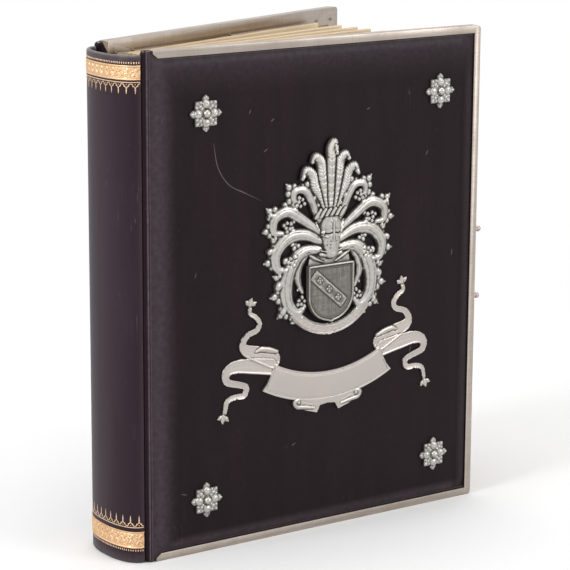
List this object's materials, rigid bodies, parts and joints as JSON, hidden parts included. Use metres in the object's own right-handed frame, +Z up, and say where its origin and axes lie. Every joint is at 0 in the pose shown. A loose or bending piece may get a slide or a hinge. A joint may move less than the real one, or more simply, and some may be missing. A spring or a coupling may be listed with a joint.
{
  "type": "photo album",
  "caption": "Large leather-bound photograph album with metal-edged covers, relief fittings, hinged card leaves and a folding fore-edge clasp.",
  "frame": {"origin": "on the surface the album stands on, below the middle of its bounding box", "axes": "+Z up the height of the book, the spine towards -X and the front cover's face towards -Y"},
  "size_m": [0.3114, 0.1778, 0.36],
  "materials": {
    "leather": "smooth polished dark brown",
    "frame_metal": "brushed, aged silvery",
    "cast_metal": "cast and chased, dark in the hollows",
    "dark_metal": "oxidised",
    "leaf_card": "cream card with gilt edges",
    "card": "plain",
    "board": "plain",
    "linen": "woven",
    "endband": "sewn silk",
    "silk": "watered silk"
  },
  "bodies": {
    "spine": {"spine_leather": "leather", "spine_liner": "card", "front_joint_leather": "leather", "rear_joint_leather": "leather", "guards": "linen", "sewing_tapes": "linen", "back_cloth": "linen", "endbands": "endband"},
    "front_cover": {"front_board": "board", "front_leather": "leather", "front_frame": "frame_metal", "front_doublure": "silk", "front_nails": "dark_metal", "rosette_head_spine": "cast_metal", "rosette_head_fore": "cast_metal", "rosette_tail_spine": "cast_metal", "rosette_tail_fore": "cast_metal", "rosette_studs": "cast_metal", "shield": "dark_metal", "helm": "cast_metal", "crest": "cast_metal", "mantling": "cast_metal", "motto_ribbon": "cast_metal", "banner": "cast_metal", "clasp_pins": "frame_metal"},
    "rear_cover": {"rear_board": "board", "rear_leather": "leather", "rear_frame": "frame_metal", "rear_doublure": "silk", "rear_nails": "dark_metal", "rear_bosses": "cast_metal", "clasp_bracket": "frame_metal", "clasp_hinge_pin": "dark_metal"},
    "clasp": {"clasp_plate": "frame_metal"},
    "leaf_01": {"leaf_01": "leaf_card", "leaf_hinge_01": "linen"},
    "leaf_02": {"leaf_02": "leaf_card", "leaf_hinge_02": "linen"},
    "leaf_03": {"leaf_03": "leaf_card", "leaf_hinge_03": "linen"},
    "leaf_04": {"leaf_04": "leaf_card", "leaf_hinge_04": "linen"},
    "leaf_05": {"leaf_05": "leaf_card", "leaf_hinge_05": "linen"},
    "leaf_06": {"leaf_06": "leaf_card", "leaf_hinge_06": "linen"},
    "leaf_07": {"leaf_07": "leaf_card", "leaf_hinge_07": "linen"},
    "leaf_08": {"leaf_08": "leaf_card", "leaf_hinge_08": "linen"},
    "leaf_09": {"leaf_09": "leaf_card", "leaf_hinge_09": "linen"},
    "leaf_10": {"leaf_10": "leaf_card", "leaf_hinge_10": "linen"},
    "leaf_11": {"leaf_11": "leaf_card", "leaf_hinge_11": "linen"},
    "leaf_12": {"leaf_12": "leaf_card", "leaf_hinge_12": "linen"}
  },
  "joints": [
    {"name": "front_cover_hinge", "type": "hinge", "parent": "spine", "child": "front_cover", "pos_m": [-0.1366, -0.07629, 0], "axis": [0, 0, 1], "range_deg": [-150, 0], "deforming": ["front_joint_leather"]},
    {"name": "rear_cover_hinge", "type": "hinge", "parent": "spine", "child": "rear_cover", "pos_m": [-0.1366, -0.01589, 0], "axis": [0, 0, 1], "range_deg": [-20, 80], "deforming": ["rear_joint_leather"]},
    {"name": "clasp_hinge", "type": "hinge", "parent": "rear_cover", "child": "clasp", "pos_m": [0.13126, 0.08729, 0], "axis": [0, 0, 1], "range_deg": [-270, 0]},
    {"name": "leaf_01_hinge", "type": "hinge", "parent": "spine", "child": "leaf_01", "pos_m": [-0.1276, -0.06974, 0], "axis": [0, 0, 1], "range_deg": [-75, 0]},
    {"name": "leaf_02_hinge", "type": "hinge", "parent": "spine", "child": "leaf_02", "pos_m": [-0.1276, -0.06544, 0], "axis": [0, 0, 1], "range_deg": [-60, 0]},
    {"name": "leaf_03_hinge", "type": "hinge", "parent": "spine", "child": "leaf_03", "pos_m": [-0.1276, -0.06114, 0], "axis": [0, 0, 1], "range_deg": [-45, 0]},
    {"name": "leaf_04_hinge", "type": "hinge", "parent": "spine", "child": "leaf_04", "pos_m": [-0.1276, -0.05684, 0], "axis": [0, 0, 1], "range_deg": [-30, 0]},
    {"name": "leaf_05_hinge", "type": "hinge", "parent": "spine", "child": "leaf_05", "pos_m": [-0.1276, -0.05254, 0], "axis": [0, 0, 1], "range_deg": [-15, 0]},
    {"name": "leaf_06_hinge", "type": "hinge", "parent": "spine", "child": "leaf_06", "pos_m": [-0.1276, -0.04824, 0], "axis": [0, 0, 1], "range_deg": [-2, 8]},
    {"name": "leaf_07_hinge", "type": "hinge", "parent": "spine", "child": "leaf_07", "pos_m": [-0.1276, -0.04394, 0], "axis": [0, 0, 1], "range_deg": [-4, 16]},
    {"name": "leaf_08_hinge", "type": "hinge", "parent": "spine", "child": "leaf_08", "pos_m": [-0.1276, -0.03964, 0], "axis": [0, 0, 1], "range_deg": [-7, 28]},
    {"name": "leaf_09_hinge", "type": "hinge", "parent": "spine", "child": "leaf_09", "pos_m": [-0.1276, -0.03534, 0], "axis": [0, 0, 1], "range_deg": [-10, 40]},
    {"name": "leaf_10_hinge", "type": "hinge", "parent": "spine", "child": "leaf_10", "pos_m": [-0.1276, -0.03104, 0], "axis": [0, 0, 1], "range_deg": [-12.4, 49.6]},
    {"name": "leaf_11_hinge", "type": "hinge", "parent": "spine", "child": "leaf_11", "pos_m": [-0.1276, -0.02674, 0], "axis": [0, 0, 1], "range_deg": [-15.4, 61.6]},
    {"name": "leaf_12_hinge", "type": "hinge", "parent": "spine", "child": "leaf_12", "pos_m": [-0.1276, -0.02244, 0], "axis": [0, 0, 1], "range_deg": [-20, 80]}
  ],
  "couplings": [
    {"joint": "leaf_01_hinge", "follows": "front_cover_hinge", "ratio": 0.5},
    {"joint": "leaf_02_hinge", "follows": "front_cover_hinge", "ratio": 0.4},
    {"joint": "leaf_03_hinge", "follows": "front_cover_hinge", "ratio": 0.3},
    {"joint": "leaf_04_hinge", "follows": "front_cover_hinge", "ratio": 0.2},
    {"joint": "leaf_05_hinge", "follows": "front_cover_hinge", "ratio": 0.1},
    {"joint": "leaf_06_hinge", "follows": "rear_cover_hinge", "ratio": 0.1},
    {"joint": "leaf_07_hinge", "follows": "rear_cover_hinge", "ratio": 0.2},
    {"joint": "leaf_08_hinge", "follows": "rear_cover_hinge", "ratio": 0.35},
    {"joint": "leaf_09_hinge", "follows": "rear_cover_hinge", "ratio": 0.5},
    {"joint": "leaf_10_hinge", "follows": "rear_cover_hinge", "ratio": 0.62},
    {"joint": "leaf_11_hinge", "follows": "rear_cover_hinge", "ratio": 0.77},
    {"joint": "leaf_12_hinge", "follows": "rear_cover_hinge", "ratio": 1}
  ]
}
